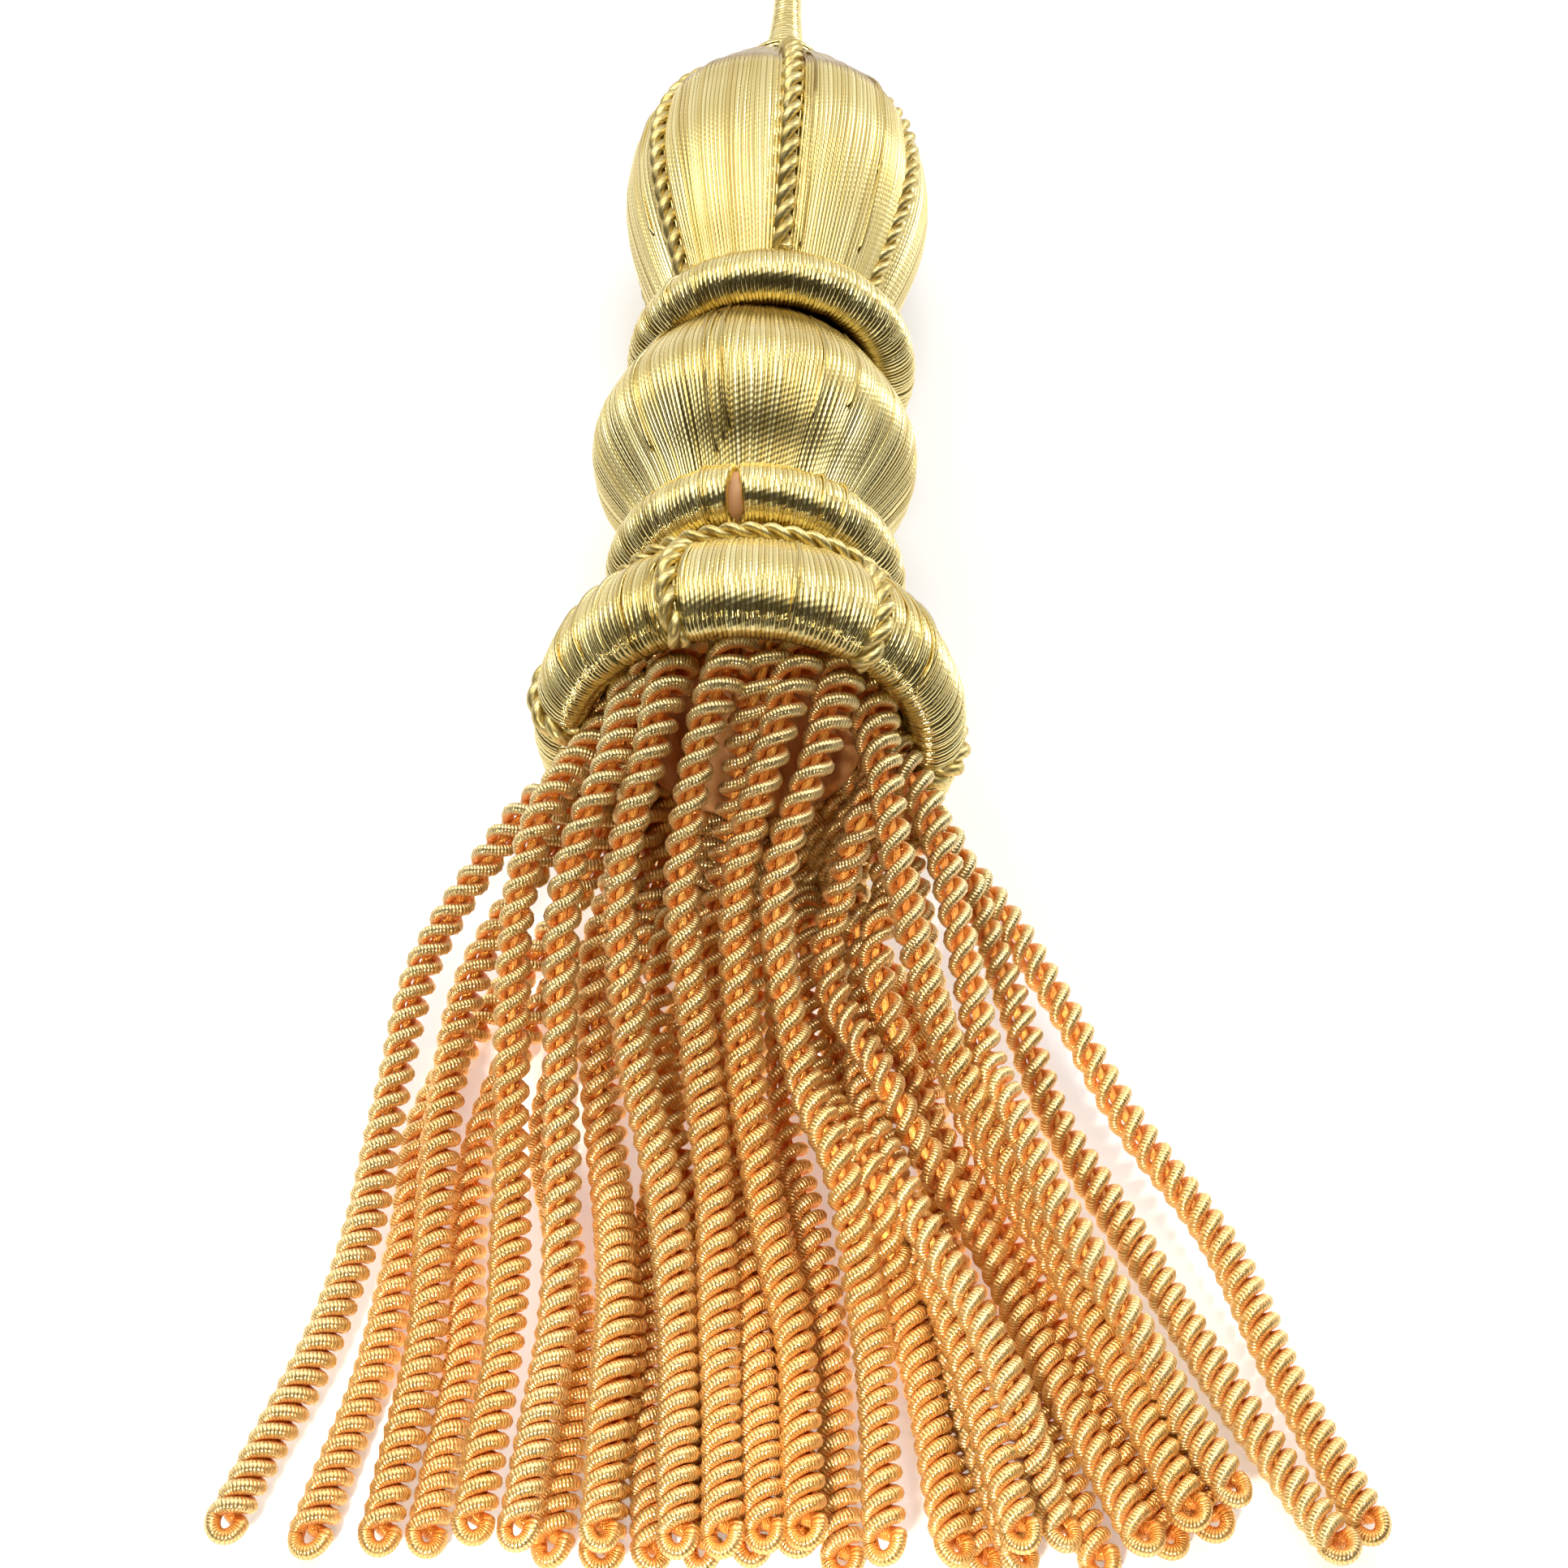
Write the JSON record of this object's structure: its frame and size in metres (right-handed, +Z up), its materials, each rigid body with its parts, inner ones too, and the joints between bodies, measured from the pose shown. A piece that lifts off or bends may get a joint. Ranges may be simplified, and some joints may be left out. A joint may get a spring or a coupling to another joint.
{
  "type": "bullion tassel",
  "caption": "Thread-wound tassel head of stacked moulds and rings with a fanned fringe of twisted bullion strands, lying flat.",
  "frame": {"origin": "centre of the bounding box's footprint, on the table the tassel lies on", "axes": "+Y along the tassel towards the stem it hangs by, fringe towards -Y, +Z up from the table"},
  "size_m": [0.0996, 0.1824, 0.0398],
  "materials": {
    "gilt_thread": "lustrous",
    "gilt_cord": "lustrous",
    "gilt_bullion": "polished",
    "mould_wood": "matt"
  },
  "bodies": {
    "root": {"stem": "gilt_thread", "bulb": "gilt_thread", "disc_ring": "gilt_thread", "ball": "gilt_thread", "small_ring": "gilt_thread", "large_ring": "gilt_thread", "bulb_cord_1": "gilt_cord", "bulb_cord_2": "gilt_cord", "bulb_cord_3": "gilt_cord", "bulb_cord_4": "gilt_cord", "bulb_cord_5": "gilt_cord", "bulb_cord_6": "gilt_cord", "ring_rope_1": "gilt_cord", "ring_rope_2": "gilt_cord", "ring_rope_3": "gilt_cord", "ring_rope_4": "gilt_cord", "ring_rope_5": "gilt_cord", "ring_rope_6": "gilt_cord", "joint_cord": "gilt_cord", "ring_mould": "mould_wood", "fringe": "gilt_bullion"}
  },
  "joints": []
}
